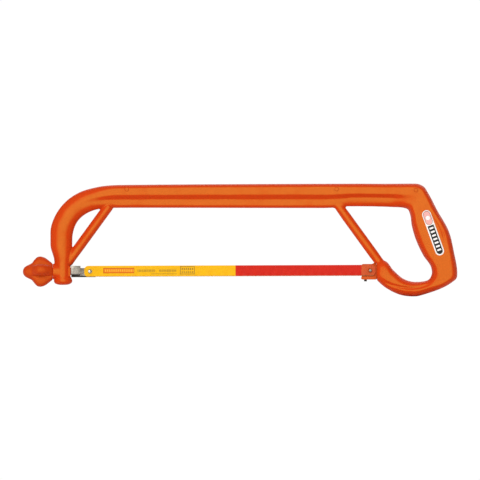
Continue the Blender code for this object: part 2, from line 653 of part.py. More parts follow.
def make_struts(finish, bow_skin, handle_skin):
    """Both struts, with the holes that their rods pass through in the skins and the core."""
    bow_rows = [BOW_AT_SOCKET, *BOW[3:]]
    post_rows = [BOW[0], BOW[1], BOW_BELOW_SOCKET_TOP]
    steel = COAT + GAP
    bow_steel = add_helper("bow_steel_room", ribbon(bow_rows, steel - GAP))
    post_steel = add_helper("post_steel_room", ribbon(post_rows, steel - GAP))
    bow_room = add_helper("bow_skin_room", ribbon(BOW, -GAP))
    handle_steel = add_helper("handle_steel_room", ribbon(HANDLE[1:-1], steel - GAP))
    handle_room = add_helper("handle_skin_room", ribbon(HANDLE[1:], -GAP))
    make_strut("front_strut", FRONT_STRUT, finish, (bow_steel, post_steel), (bow_room,))
    rear_cutters = (bow_steel, handle_steel), (bow_room, handle_room)
    make_strut("rear_strut", REAR_STRUT, finish, *rear_cutters, REAR_SLEEVE_SETBACK)
    front = ("front", FRONT_STRUT, (bow_skin,))
    rear = ("rear", REAR_STRUT, (bow_skin, handle_skin))
    for name, ends, skins in (front, rear):
        start, end = (flat_to_space(p) for p in ends)
        hole = add_helper(f"{name}_rod_room", rod(start, end, ROD_RADIUS + GAP, 16))
        for skin in skins:
            cut(skin, hole)


def main():
    for thing in list(bpy.data.objects):
        bpy.data.objects.remove(thing)
    finish = make_finishes()
    bow_skin = make_bow(finish)
    make_post_cap(finish)
    core, handle_skin = make_handle(finish)
    make_struts(finish, bow_skin, handle_skin)
    make_drawbar(finish)
    make_wing_nut(finish)
    make_blade(finish)
    make_anchor(finish, core, handle_skin)
    make_badge(finish, handle_skin)
    make_plugs(finish, bow_skin, handle_skin)


main()
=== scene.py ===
"""The looks of the insulated hacksaw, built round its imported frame.

Design coordinates are in millimetres, as in the CAD source: x runs back from the wing nut's tip, y from the
near side to the far side, and z up from the handle's lowest point. place() takes them to the frame's metres.
"""

import math

import bmesh
import bpy
import numpy as np
from mathutils import Matrix, Vector


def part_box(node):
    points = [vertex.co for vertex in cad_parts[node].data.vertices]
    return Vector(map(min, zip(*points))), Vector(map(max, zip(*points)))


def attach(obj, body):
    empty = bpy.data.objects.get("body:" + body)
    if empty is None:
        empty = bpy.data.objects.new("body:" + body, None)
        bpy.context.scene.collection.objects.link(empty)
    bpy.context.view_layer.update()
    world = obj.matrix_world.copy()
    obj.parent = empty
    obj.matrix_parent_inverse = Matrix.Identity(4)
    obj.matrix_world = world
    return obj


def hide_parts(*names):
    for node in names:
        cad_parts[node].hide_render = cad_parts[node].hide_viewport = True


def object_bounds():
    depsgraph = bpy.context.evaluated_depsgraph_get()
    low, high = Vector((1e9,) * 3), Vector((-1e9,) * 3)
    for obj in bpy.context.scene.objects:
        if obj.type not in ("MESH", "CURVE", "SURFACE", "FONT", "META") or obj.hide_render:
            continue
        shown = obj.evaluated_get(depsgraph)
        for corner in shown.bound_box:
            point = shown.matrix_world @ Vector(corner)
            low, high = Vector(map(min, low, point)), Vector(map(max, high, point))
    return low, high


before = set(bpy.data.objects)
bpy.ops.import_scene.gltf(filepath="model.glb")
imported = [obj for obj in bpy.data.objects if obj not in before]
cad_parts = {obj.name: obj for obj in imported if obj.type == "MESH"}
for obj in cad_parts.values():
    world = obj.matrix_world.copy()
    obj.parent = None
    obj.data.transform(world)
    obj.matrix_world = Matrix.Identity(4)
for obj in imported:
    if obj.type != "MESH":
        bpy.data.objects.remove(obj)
CAD_LOW, CAD_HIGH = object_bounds()
MM = 0.001

# The bow and the handle. Each row is outer x, outer z, inner x, inner z, outer half thickness, inner half
# thickness, and how far the rounding reaches in from the outer and from the inner edge.
POST_AND_BAR = (
    (34.1, 21.6, 50.9, 21.6, 9.0, 9.0, 8.2, 8.2),
    (34.1, 28.0, 50.9, 28.0, 9.0, 9.0, 8.2, 8.2),
    (33.5, 41.0, 51.6, 40.5, 9.0, 9.0, 8.8, 8.8),
    (29.6, 57.0, 53.0, 55.5, 9.0, 9.0, 11.5, 11.5),
    (29.6, 70.0, 53.5, 67.0, 9.0, 9.0, 11.6, 11.6),
    (34.8, 88.0, 57.8, 80.0, 9.0, 9.0, 11.6, 11.6),
    (47.2, 104.0, 66.6, 89.0, 8.8, 8.8, 11.6, 11.6),
    (60.0, 112.5, 75.8, 93.4, 8.7, 8.2, 10.5, 10.5),
    (78.5, 118.2, 88.0, 95.6, 8.6, 6.5, 7.5, 7.5),
    (104.0, 120.7, 106.0, 96.1, 8.5, 4.7, 4.4, 4.4),
    (300.0, 121.2, 300.0, 95.2, 8.5, 4.6, 4.0, 4.0),
    (330.0, 121.2, 330.0, 95.1, 8.5, 4.6, 4.0, 4.0),
    (352.0, 121.2, 352.0, 96.8, 8.5, 4.9, 4.6, 9.4),
)
HANDLE = (
    (396.0, 121.0, 396.0, 95.9, 9.2, 6.2, 4.6, 9.6),
    (421.2, 121.1, 409.8, 94.7, 11.4, 10.2, 4.8, 7.6),
    (430.2, 117.9, 413.6, 92.8, 12.2, 11.6, 5.2, 7.4),
    (434.9, 111.0, 415.5, 87.6, 12.8, 12.4, 5.2, 7.4),
    (444.4, 92.8, 417.2, 76.0, 13.5, 13.5, 5.4, 7.4),
    (456.9, 70.0, 421.9, 60.0, 13.5, 13.5, 5.4, 7.4),
    (462.4, 47.6, 429.2, 44.4, 13.5, 13.5, 5.4, 7.4),
    (465.9, 25.0, 438.1, 30.0, 13.0, 13.0, 6.4, 7.4),
    (465.0, 19.2, 438.7, 25.6, 12.8, 12.8, 6.4, 7.4),
    (459.6, 14.6, 437.6, 21.4, 12.6, 12.6, 6.4, 7.4),
    (433.5, 3.1, 427.8, 16.0, 12.0, 12.0, 7.2, 7.2),
    (420.0, 0.0, 420.4, 15.7, 11.8, 11.8, 7.0, 7.0),
    (406.0, 1.4, 409.0, 18.6, 11.4, 11.4, 7.4, 7.4),
    (390.6, 8.4, 397.2, 28.4, 10.2, 10.2, 8.0, 8.0),
    (382.2, 15.1, 387.2, 38.6, 9.4, 9.4, 8.4, 8.4),
    (380.4, 16.9, 382.4, 38.6, 8.4, 8.4, 8.0, 8.0),
    (379.3, 18.6, 379.4, 37.4, 6.6, 6.6, 7.0, 7.0),
)
ROW_STEP = 2.0
ARC_STEPS = 10
FLAT_STEPS = 16

# The bar steps in from its outer to its inner thickness between these shares of its width.
STEP_LOW = 0.36
STEP_HIGH = 0.56

# Each strut's foot and head as (x, z), its radius, and how much thicker it is along y.
STRUTS = (
    ((48.1, 37.6), (94.2, 100.5), 5.35, 1.16),
    ((386.0, 31.8), (337.6, 99.0), 5.1, 1.0),
)
STRUT_BALL = 3.6

AXIS_Z = 28.05  # the blade, the drawbar and the wing nut share this height
BOSS_X = (31.95, 42.0)
BOSS_RADIUS = 8.4
COLLAR = ((46.0, 51.05), (-6.4, 6.4), (22.8, 33.4))
VOXEL = 0.5
SKIN_SMOOTHING = 4


def place(x, y, z):
    return Vector((CAD_LOW.x + x * MM, y * MM, CAD_LOW.z + z * MM))


def design_box(node):
    """A CAD node's lowest and highest corner in design coordinates."""
    low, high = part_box(node)
    return [
        Vector(((p.x - CAD_LOW.x) / MM, p.y / MM, (p.z - CAD_LOW.z) / MM))
        for p in (low, high)
    ]


# --- shapes -------------------------------------------------------------------------------------------------


def finish_mesh(name, bm, sharp_angle=40):
    """A mesh object of a bmesh in design coordinates."""
    for vertex in bm.verts:
        vertex.co = place(*vertex.co)
    bmesh.ops.recalc_face_normals(bm, faces=bm.faces)
    mesh = bpy.data.meshes.new(name)
    bm.to_mesh(mesh)
    bm.free()
    mesh.shade_smooth()
    mesh.set_sharp_from_angle(angle=math.radians(sharp_angle))
    thing = bpy.data.objects.new(name, mesh)
    bpy.context.scene.collection.objects.link(thing)
    return thing


def bake_modifiers(thing, sharp_angle=40):
    """Replaces the mesh by what its modifiers make of it."""
    bpy.context.view_layer.update()
    graph = bpy.context.evaluated_depsgraph_get()
    mesh = bpy.data.meshes.new_from_object(thing.evaluated_get(graph))
    thing.modifiers.clear()
    thing.data = mesh
    mesh.shade_smooth()
    mesh.set_sharp_from_angle(angle=math.radians(sharp_angle))
    return thing


def carve(thing, *cutters, operation="DIFFERENCE", solver="MANIFOLD"):
    """Cuts other objects out of a closed mesh, and removes them."""
    for cutter in cutters:
        modifier = thing.modifiers.new("carve", "BOOLEAN")
        modifier.operation = operation
        modifier.solver = solver
        modifier.object = cutter
    bake_modifiers(thing)
    for cutter in cutters:
        bpy.data.objects.remove(cutter)
    return thing


def bevel(thing, width):
    modifier = thing.modifiers.new("edge rounding", "BEVEL")
    modifier.width = width * MM
    modifier.segments = 3
    modifier.limit_method = "ANGLE"
    modifier.angle_limit = math.radians(35)
    modifier.harden_normals = True
    return bake_modifiers(thing)


def skin_between(bm, rings):
    for near, far in zip(rings, rings[1:]):
        for k in range(len(near)):
            following = (k + 1) % len(near)
            bm.faces.new((near[k], near[following], far[following], far[k]))


def tangent(before, after, length_before, length_after):
    """The slope between two spans that keeps a curve through them from overshooting."""
    if before * after <= 0:
        return 0.0
    mean = (before * length_after + after * length_before) / (length_before + length_after)
    return math.copysign(min(abs(mean), 3 * abs(before), 3 * abs(after)), before)


def smooth_rows(stations, step_length):
    """Runs a smooth curve through the stations, with a row about every step_length."""
    count = len(stations[0])
    keys = min(4, count)
    lengths = [math.dist(a[:keys], b[:keys]) for a, b in zip(stations, stations[1:])]
    slopes = [[(q - p) / d for p, q in zip(a, b)] for a, b, d in zip(stations, stations[1:], lengths)]
    tangents = [slopes[0]]
    for before, after, d0, d1 in zip(slopes, slopes[1:], lengths, lengths[1:]):
        tangents.append([tangent(p, q, d0, d1) for p, q in zip(before, after)])
    tangents.append(slopes[-1])
    rows = []
    for i, d in enumerate(lengths):
        steps = max(1, round(d / step_length))
        for step in range(steps):
            t = step / steps
            ends = (2 * t**3 - 3 * t**2 + 1, 3 * t**2 - 2 * t**3)
            weights = (*ends, (t**3 - 2 * t**2 + t) * d, (t**3 - t**2) * d)
            parts = (stations[i], stations[i + 1], tangents[i], tangents[i + 1])
            rows.append([sum(w * part[k] for w, part in zip(weights, parts)) for k in range(count)])
    rows.append(list(stations[-1]))
    return rows


def section(row):
    """The closed section at one station: down its near side from the inner to the outer edge, and back."""
    outer, inner = Vector(row[0:2]), Vector(row[2:4])
    width = (outer - inner).length
    across = (outer - inner) / width
    outer_depth, inner_depth = min(row[6], 0.47 * width), min(row[7], 0.47 * width)
    low = min(max(STEP_LOW * width, inner_depth * 1.02), 0.49 * width)
    high = max(STEP_HIGH * width, low + 0.02 * width)
    arc = [1 - math.cos(math.pi / 2 * k / ARC_STEPS) for k in range(ARC_STEPS)]
    flat_width = width - inner_depth - outer_depth
    flat = [inner_depth + flat_width * k / FLAT_STEPS for k in range(FLAT_STEPS + 1)]
    foot = [inner_depth * a for a in arc]
    head = [width - outer_depth * a for a in reversed(arc)]
    side = []
    for u in [*foot, *flat, *head]:
        share = min(max((u - low) / (high - low), 0), 1)
        half = row[5] + (row[4] - row[5]) * share * (0.7 + 0.3 * share * (3 - 2 * share))
        edge = min(u / inner_depth, (width - u) / outer_depth, 1)
        side.append((u, half * math.sqrt(max(0.0, 1 - (1 - edge) ** 2))))
    ring = [(inner + across * u, -y) for u, y in side]
    ring += [(inner + across * u, y) for u, y in reversed(side[1:-1])]
    return [(p.x, y, p.y) for p, y in ring]


def loft(bm, rings):
    made = [[bm.verts.new(p) for p in ring] for ring in rings]
    skin_between(bm, made)
    bm.faces.new(made[0])
    bm.faces.new(made[-1])


def rod(bm, start, end, radius, sides=32, ball_end=0.0, swell=1.0):
    """A bar between two design points. ball_end rounds off its far end, and swell thickens it along y."""
    start, end = Vector(start), Vector(end)
    axis = (end - start).normalized()
    side = axis.orthogonal().normalized()
    up = axis.cross(side)
    steps = [(start, radius), (end - axis * ball_end, radius)]
    for k in range(1, 7) if ball_end else ():
        angle = math.pi / 2 * k / 6.3
        steps.append((end - axis * ball_end * (1 - math.sin(angle)), radius * math.cos(angle)))
    angles = [2 * math.pi * k / sides for k in range(sides)]
    rings = [[c + (side * math.cos(a) + up * math.sin(a)) * r for a in angles] for c, r in steps]
    for ring in rings:
        for point in ring:
            point.y *= swell
    loft(bm, rings)


def turned(bm, profile, center, axis="Z", sides=64):
    """Turns (radius, height) points about an axis through a design point."""
    angles = [2 * math.pi * k / sides for k in range(sides)]
    rings = []
    for radius, h in profile:
        flat = [(radius * math.cos(a), radius * math.sin(a)) for a in angles]
        points = {
            "X": [(h, p, q) for p, q in flat],
            "Y": [(q, h, p) for p, q in flat],
            "Z": [(p, q, h) for p, q in flat],
        }
        rings.append([Vector(center) + Vector(point) for point in points[axis]])
    loft(bm, rings)


def rounded_rod(name, radius, low, high, center, axis, edge, sides=48):
    """A short turned bar with rounded rims."""
    arc = [math.pi / 2 * k / 5 for k in range(6)]
    foot = [(radius - edge * (1 - math.sin(a)), low + edge * (1 - math.cos(a))) for a in arc]
    head = [(radius - edge * (1 - math.sin(a)), high - edge * (1 - math.cos(a))) for a in reversed(arc)]
    bm = bmesh.new()
    turned(bm, [*foot, *head], center, axis, sides)
    return finish_mesh(name, bm)


def box(bm, xs, ys, zs):
    made = bmesh.ops.create_cube(bm, size=1.0)["verts"]
    for vertex in made:
        vertex.co = Vector([low if c < 0 else high for c, (low, high) in zip(vertex.co, (xs, ys, zs))])


def box_object(name, xs, ys, zs):
    bm = bmesh.new()
    box(bm, xs, ys, zs)
    return finish_mesh(name, bm)


def prism_object(name, outline, y0, y1):
    bm = bmesh.new()
    loft(bm, [[(x, y, z) for x, z in outline] for y in (y0, y1)])
    return finish_mesh(name, bm)


def corner_arc(center, radius, first, last, steps=10):
    angles = [math.radians(first + (last - first) * k / steps) for k in range(steps + 1)]
    return [(center[0] + radius * math.cos(a), center[1] + radius * math.sin(a)) for a in angles]


def rounded_outline(x0, x1, z0, z1, radius, steps=8):
    outline = corner_arc((x1 - radius, z1 - radius), radius, 0, 90, steps)
    outline += corner_arc((x0 + radius, z1 - radius), radius, 90, 180, steps)
    outline += corner_arc((x0 + radius, z0 + radius), radius, 180, 270, steps)
    return outline + corner_arc((x1 - radius, z0 + radius), radius, 270, 360, steps)


# --- the moulded skin ---------------------------------------------------------------------------------------


def relax(thing, rounds, center=None, reach=0.0):
    """Smooths a mesh, everywhere or only round one design point."""
    mesh = thing.data
    count = len(mesh.vertices)
    co = np.empty(count * 3)
    mesh.vertices.foreach_get("co", co)
    co = co.reshape(-1, 3)
    ends = np.empty(len(mesh.edges) * 2, dtype=np.int64)
    mesh.edges.foreach_get("vertices", ends)
    ends = ends.reshape(-1, 2)
    weight = np.ones(count)
    if center is not None:
        distance = np.linalg.norm(co - np.array(place(*center)), axis=1) / (reach * MM)
        weight = np.clip(1.6 * (1 - distance), 0, 1)
        ends = ends[(weight[ends] > 0).any(axis=1)]
    both = np.concatenate([ends[:, 0], ends[:, 1]])
    other = np.concatenate([ends[:, 1], ends[:, 0]])
    neighbours = np.maximum(np.bincount(both, minlength=count), 1)
    weight = weight * (neighbours > 1)
    for _ in range(rounds):
        sums = np.stack([np.bincount(both, co[other, k], count) for k in range(3)], axis=1)
        co = co + 0.5 * weight[:, None] * (sums / neighbours[:, None] - co)
    mesh.vertices.foreach_set("co", co.ravel())
    mesh.update()


def make_skin():
    """The bow, the handle, the struts and the boss as one moulding."""
    bm = bmesh.new()
    loft(bm, [section(row) for row in smooth_rows(POST_AND_BAR + HANDLE, ROW_STEP)])
    for (x0, z0), (x1, z1), radius, swell in STRUTS:
        rod(bm, (x0, 0, z0), (x1, 0, z1), radius, ball_end=STRUT_BALL, swell=swell)
    rod(bm, (BOSS_X[0], 0, AXIS_Z), (BOSS_X[1], 0, AXIS_Z), BOSS_RADIUS, sides=64)
    box(bm, *COLLAR)
    skin = finish_mesh("skin_moulding", bm)
    remesh = skin.modifiers.new("one skin", "REMESH")
    remesh.mode = "VOXEL"
    remesh.voxel_size = VOXEL * MM
    bake_modifiers(skin)
    relax(skin, SKIN_SMOOTHING)
    for x, z, reach, rounds in JOINS:
        relax(skin, rounds, (x, 0, z), reach)
    for path, depth, width in GROOVES:
        press_groove(skin, path, depth, width)
    return skin


def press_groove(thing, path, depth, width):
    """Presses a soft groove along an (x, z) path into both side faces."""
    mesh = thing.data
    co = np.empty(len(mesh.vertices) * 3)
    mesh.vertices.foreach_get("co", co)
    co = co.reshape(-1, 3)
    flat = np.stack([co[:, 0] - CAD_LOW.x, co[:, 2] - CAD_LOW.z], axis=1) / MM
    points = np.array(path)
    nearest = np.full(len(co), np.inf)
    share = np.zeros(len(co))
    length = np.concatenate([[0], np.cumsum(np.linalg.norm(np.diff(points, axis=0), axis=1))])
    for k, (a, b) in enumerate(zip(points, points[1:])):
        t = np.clip(((flat - a) @ (b - a)) / ((b - a) @ (b - a)), 0, 1)
        distance = np.linalg.norm(flat - a - t[:, None] * (b - a), axis=1)
        closer = distance < nearest
        nearest = np.where(closer, distance, nearest)
        share = np.where(closer, (length[k] + t * (length[k + 1] - length[k])) / length[-1], share)
    fade = np.clip(np.minimum(share, 1 - share) / GROOVE_FADE, 0, 1)
    sink = depth * fade * np.exp(-((nearest / width) ** 2))
    co[:, 1] -= np.sign(co[:, 1]) * np.minimum(sink * MM, np.abs(co[:, 1]))
    mesh.vertices.foreach_set("co", co.ravel())
    mesh.update()


# Where the struts run into the bow and the handle: x, z, reach and rounds of smoothing.
JOINS = (
    (87.0, 93.0, 7.0, 14),
    (54.0, 45.0, 10.0, 40),
    (338.0, 96.0, 14.0, 60),
    (382.0, 33.0, 14.0, 60),
    (378, 26, 10, 40),
)

# The crease along the back of the grip and the one along the lower arm: path, depth and half width.
GRIP_CREASE = ((436.5, 93.0), (441.5, 85.5), (446.3, 78.0), (449.6, 71.0), (451.6, 64.0), (452.6, 57.0))
ARM_GROOVE = ((384.5, 20.5), (388.5, 15.6), (395.5, 12.3), (403.0, 10.4), (411.0, 9.2), (418.3, 9.0))
ARM_GROOVE += ((426.0, 9.9), (434.0, 12.2), (441.0, 15.0))
GROOVES = ((GRIP_CREASE, 0.7, 1.4), (ARM_GROOVE, 1.25, 1.6))
GROOVE_FADE = 0.18  # share of a groove's length over which each of its ends fades out


BORE = 4.4  # half width of the square hole that the drawbar slides in
NOSE_X = 379.4  # the handle's front end, behind the blade
PLUG_RADIUS = 2.1
PLUG_HOLE = 2.3
PLUG_DEPTH = 0.7
PLUGS = [
    (f"support_plug_{spot}_{side}", sign)
    for spot in ("front", "middle", "rear")
    for side, sign in (("near", -1), ("far", 1))
]


def cut_skin(skin):
    """Room for the drawbar, the blade's end, the anchor and the plugs."""
    low, high = design_box("rear_anchor")
    cutters = [
        box_object("bore", (28, 60), (-BORE, BORE), (AXIS_Z - BORE, AXIS_Z + BORE)),
        box_object("blade_room", (350, NOSE_X), (-30, 0.5), (19.6, 36.2)),
        box_object("anchor_room", (350, NOSE_X + 1.2), (0.3, 6.1), (low.z - 0.4, high.z + 0.4)),
        box_object("lip_room", (350, NOSE_X), (-3.7, 3), (low.z - 0.45, 22.0)),
    ]
    for name, sign in PLUGS:
        low, high = design_box(name)
        center = ((low.x + high.x) / 2, 0, (low.z + high.z) / 2)
        face = max(abs(low.y), abs(high.y))
        hole = rounded_rod("hole", PLUG_HOLE, sign * (face - PLUG_DEPTH), sign * 25, center, "Y", 0.0, 32)
        cutters.append(hole)
    carve(skin, *cutters)




def make_plugs():
    plugs = []
    for name, sign in PLUGS:
        low, high = design_box(name)
        center = ((low.x + high.x) / 2, 0, (low.z + high.z) / 2)
        ys = sorted((low.y, high.y))
        plug = rounded_rod(name.replace("support_", ""), PLUG_RADIUS, ys[0], ys[1], center, "Y", 0.35, 40)
        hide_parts(name)
        plugs.append(plug)
    return plugs


# The cap on the post's foot: z, centre x, and its half widths along x and along y.
CAP_SECTIONS = (
    (13.7, 43.05, 0.6, 0.6),
    (13.74, 43.05, 2.4, 2.4),
    (13.95, 43.05, 4.6, 4.7),
    (14.45, 43.05, 6.7, 6.9),
    (15.3, 43.05, 8.4, 8.6),
    (16.5, 43.05, 9.45, 9.5),
    (17.9, 43.05, 9.85, 9.85),
    (19.2, 43.0, 9.75, 9.8),
    (20.4, 42.85, 9.4, 9.55),
    (21.4, 42.7, 9.0, 9.3),
    (22.3, 42.6, 8.72, 9.14),
    (23.0, 42.55, 8.5, 9.02),
)


CAP_SIDES = 96


def make_post_cap():
    angles = [2 * math.pi * k / CAP_SIDES for k in range(CAP_SIDES)]
    bm = bmesh.new()
    rows = smooth_rows(CAP_SECTIONS, 0.4)
    loft(bm, [[(cx + rx * math.cos(a), ry * math.sin(a), z) for a in angles] for z, cx, rx, ry in rows])
    cap = finish_mesh("post_foot_cap", bm)
    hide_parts("post_cap")
    return cap


# --- the wing nut -------------------------------------------------------------------------------------------

# x, hub radius, lobe radius
NUT_PROFILE = (
    (0.0, 0.9, 0.9),
    (0.35, 2.2, 2.2),
    (1.2, 3.9, 3.9),
    (2.8, 5.5, 5.5),
    (6.0, 7.3, 7.3),
    (9.4, 8.3, 9.1),
    (12.6, 8.4, 13.0),
    (15.8, 8.4, 15.85),
    (18.9, 8.4, 16.4),
    (22.2, 8.4, 15.7),
    (29.0, 8.2, 11.1),
    (30.9, 8.1, 9.5),
    (31.6, 7.9, 8.6),
    (31.9, 7.7, 8.2),
)
NUT_TURN = math.radians(11)
NUT_SIDES = 360
DOTS_X = [10.6 + 1.55 * k for k in range(6)]
DOT_RADIUS = 0.42
DOT_HEIGHT = 0.26
LOBE_SHARPNESS = 1.15
NUT_STEP = 0.28
RECESS_RADIUS = 7.5  # room for the washer
POCKET_RADIUS = 6.5  # room for the brass insert


def nut_radius(row, angle):
    """The radius at an angle from the near side, with four lobes and a row of grip dots on each."""
    turn = (angle - NUT_TURN + math.pi / 4) % (math.pi / 2) - math.pi / 4
    share = max(0.0, math.cos(2 * turn)) ** LOBE_SHARPNESS
    radius = row[1] + (row[2] - row[1]) * share
    for x in DOTS_X:
        distance = math.hypot(row[0] - x, radius * turn) / DOT_RADIUS
        radius += DOT_HEIGHT * math.exp(-(distance**4)) if distance < 1.6 else 0.0
    return radius


def make_wing_nut():
    bm = bmesh.new()
    rings = []
    for row in smooth_rows(NUT_PROFILE, NUT_STEP):
        ring = []
        for k in range(NUT_SIDES):
            angle = 2 * math.pi * k / NUT_SIDES
            radius = nut_radius(row, angle)
            ring.append((row[0], -radius * math.cos(angle), AXIS_Z + radius * math.sin(angle)))
        rings.append(ring)
    loft(bm, rings)
    nut = finish_mesh("wing_nut_moulding", bm, 60)
    recess = rounded_rod("recess", RECESS_RADIUS, 29.6, 40, (0, 0, AXIS_Z), "X", 0.0)
    pocket = rounded_rod("pocket", POCKET_RADIUS, 10.0, 31, (0, 0, AXIS_Z), "X", 0.0)
    carve(nut, pocket, recess)
    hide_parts("wing_nut")
    return nut


# --- the blade and what holds it ----------------------------------------------------------------------------

TOOTH_PITCH = 25.4 / 24
TOOTH_DEPTH = 0.6
TOOTH_RAKE = 0.85  # share of the pitch that a tooth's long flank takes
COLUMNS_PER_TOOTH = 6
WAVE_LENGTH = 8.0
WAVE_DEPTH = 0.22
BLADE_CORNER = 4.4
BLADE_HOLE = 2.25
HOLE_OFFSET = 0.65  # each hole's centre is this far from its pin's, on the pin's inner side


def make_blade():
    """The blade, with its teeth and their wavy set along its lower edge."""
    low, high = design_box("blade")
    corner = BLADE_CORNER
    half = (high.y - low.y) / 2
    count = round((high.x - low.x) / TOOTH_PITCH * COLUMNS_PER_TOOTH)
    columns = [low.x + (high.x - low.x) * k / count for k in range(count + 1)]
    rows = []
    for x in columns:
        inset = 0.0
        for reach in (low.x + corner - x, x - (high.x - corner)):
            if reach > 0:
                inset = corner - math.sqrt(max(0.0, corner**2 - reach**2))
        phase = ((x - low.x) / TOOTH_PITCH) % 1.0
        toothed = low.x + corner < x < high.x - corner
        flank = phase / TOOTH_RAKE if phase < TOOTH_RAKE else (1 - phase) / (1 - TOOTH_RAKE)
        bottom = low.z + inset + (TOOTH_DEPTH * flank if toothed else 0)
        top = high.z - inset
        sway = WAVE_DEPTH * math.sin(2 * math.pi * x / WAVE_LENGTH) if toothed else 0.0
        levels = (bottom, low.z + 1.0 + inset * 0.9, low.z + 2.2 + inset * 0.7, (low.z + high.z) / 2, top)
        rows.append([(x, sway * s, max(bottom, min(z, top))) for z, s in zip(levels, (1, 0.7, 0, 0, 0))])
    bm = bmesh.new()
    rings = []
    for row in rows:
        near = [bm.verts.new((x, y - half, z)) for x, y, z in row]
        far = [bm.verts.new((x, y + half, z)) for x, y, z in reversed(row)]
        rings.append(near + far)
    skin_between(bm, rings)
    bm.faces.new(rings[0])
    bm.faces.new(rings[-1])
    bmesh.ops.remove_doubles(bm, verts=bm.verts, dist=1e-4)
    bmesh.ops.dissolve_degenerate(bm, edges=bm.edges, dist=1e-4)
    blade = finish_mesh("blade_strip", bm, 30)
    cutters = []
    for pin, side in (("front_blade_pin", 1), ("rear_blade_pin", -1)):
        pin_low, pin_high = design_box(pin)
        x = (pin_low.x + pin_high.x) / 2 + side * HOLE_OFFSET
        cutters.append(rounded_rod("hole", BLADE_HOLE, -3, 3, (x, 0, AXIS_Z), "Y", 0.0, 40))
    carve(blade, *cutters, solver="EXACT")
    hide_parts("blade")
    return blade


def make_pins():
    pins = []
    for node, body in (("front_blade_pin", "tension_bar"), ("rear_blade_pin", "frame")):
        low, high = design_box(node)
        center = ((low.x + high.x) / 2, 0, (low.z + high.z) / 2)
        name = node.replace("blade_pin", "pin")
        pin = rounded_rod(name, (high.x - low.x) / 2, low.y, high.y, center, "Y", 0.55)
        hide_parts(node)
        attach(pin, body)
        pins.append(pin)
    return pins


SEAT_Y = 0.625  # the blade lies against the drawbar and the anchor at this depth
DRAWBAR_BLOCK = ((51.4, 61.8), (-6, 6), (25.3, 34.1))
DRAWBAR_TONGUE = ((61.0, 77.4), (SEAT_Y, 5.4), (23.3, 31.7))
DRAWBAR_SHANK = ((33.0, 52.0), (-4, 4), (AXIS_Z - 4, AXIS_Z + 4))
TAIL_END_X = 33.6
THREAD_PITCH = 1.25
THREAD_RADIUS = 3.9
THREAD_DEPTH = 0.6
ROWS_PER_THREAD = 8


def make_drawbar():
    """The plated bar with its square shank, its threaded tail, and a black strip under it that is painted
    shade, standing for the dark reflection and shade on the bar's underside.
    """
    low, high = design_box("drawbar")
    bar = box_object("drawbar_block", *DRAWBAR_BLOCK)
    tongue = box_object("tongue", *DRAWBAR_TONGUE)
    shank = box_object("shank", *DRAWBAR_SHANK)
    carve(bar, tongue, shank, operation="UNION", solver="EXACT")
    bevel(bar, 0.5)
    bm = bmesh.new()
    steps = int((TAIL_END_X - low.x) / THREAD_PITCH * ROWS_PER_THREAD)
    profile = []
    for k in range(steps + 1):
        x = low.x + (TAIL_END_X - low.x) * k / steps
        profile.append((THREAD_RADIUS - THREAD_DEPTH * abs(2 * ((x / THREAD_PITCH) % 1.0) - 1), x))
    profile[0] = (THREAD_RADIUS - 1.0, low.x)
    turned(bm, profile, (0, 0, AXIS_Z), "X", 40)
    tail = finish_mesh("drawbar_tail", bm)
    # A black strip below the block: painted shade and painted reflection of the bar's dark underside.
    shade_strip = box_object("drawbar_shade_strip", (51.9, high.x), (1.6, 5.7), (low.z, 25.2))
    bevel(shade_strip, 0.3)
    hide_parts("drawbar")
    return bar, tail, shade_strip


LUG_X = (363.2, 379.8)
LIP_TOP_Z = 21.6
GUSSET = ((372.6, 34.2), (379.3, 30.0), (379.3, 38.6), (376.2, 35.9))


def make_anchor():
    """The lug behind the blade's end, the lip under it, and the gusset up to the strut."""
    low, high = design_box("rear_anchor")
    plate = prism_object("anchor_lug", rounded_outline(*LUG_X, low.z, high.z, 1.8), SEAT_Y, high.y)
    lip_outline = rounded_outline(low.x, LUG_X[1] - 0.9, low.z + 0.1, LIP_TOP_Z, 1.45)
    lip = prism_object("lip", lip_outline, low.y, 2.6)
    gusset = prism_object("gusset", GUSSET, 0.9, 5.2)
    carve(plate, lip, gusset, operation="UNION", solver="EXACT")
    bevel(plate, 0.45)
    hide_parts("rear_anchor")
    return plate


def make_set_screw():
    low, high = design_box("anchor_set_screw")
    center = ((low.x + high.x) / 2, (low.y + high.y) / 2, 0)
    screw = rounded_rod("set_screw", (high.x - low.x) / 2, low.z, high.z, center, "Z", 0.35, 32)
    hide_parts("anchor_set_screw")
    return screw


# --- the badge ----------------------------------------------------------------------------------------------

BADGE_TOP = Vector((431.6, 92.2))
BADGE_FOOT = Vector((448.6, 44.2))
BADGE_ALONG = (BADGE_FOOT - BADGE_TOP).normalized()
BADGE_RADIUS = 4.8
BADGE_SPLIT = BADGE_TOP + BADGE_ALONG * 16.0  # where the pale cell meets the dark field
BADGE_BORDER = 1.4
RIM_BORDER = 0.9

# Depths behind the plate's own face: how far down the layers reach, and where each one's face is.
LAYER_FOOT = 0.5
BASE_FACE = 0.12
RIM_FACE = 0.1
FIELD_FACE = 0.07
MARK_FACE = 0.02
DISC_PLACE = 8.6
DISC_RADIUS = 2.3
BAR_COUNT = 7
BAR_START = 4.2
BAR_PITCH = 4.1


def pill(start, end, radius):
    """A pill-shaped outline between two points of its own long axis."""
    along = (end - start).normalized()
    tilt = math.degrees(math.atan2(-along.y, -along.x))
    outline = corner_arc(start + along * radius, radius, tilt - 90, tilt + 90, 14)
    return outline + corner_arc(end - along * radius, radius, tilt + 90, tilt + 270, 14)


def bar_outline(center, length, width, radius):
    """A rounded bar with its length across the badge."""
    across = Vector((-BADGE_ALONG.y, BADGE_ALONG.x))
    corners = rounded_outline(-length / 2, length / 2, -width / 2, width / 2, radius, 4)
    return [tuple(center + across * u + BADGE_ALONG * v) for u, v in corners]


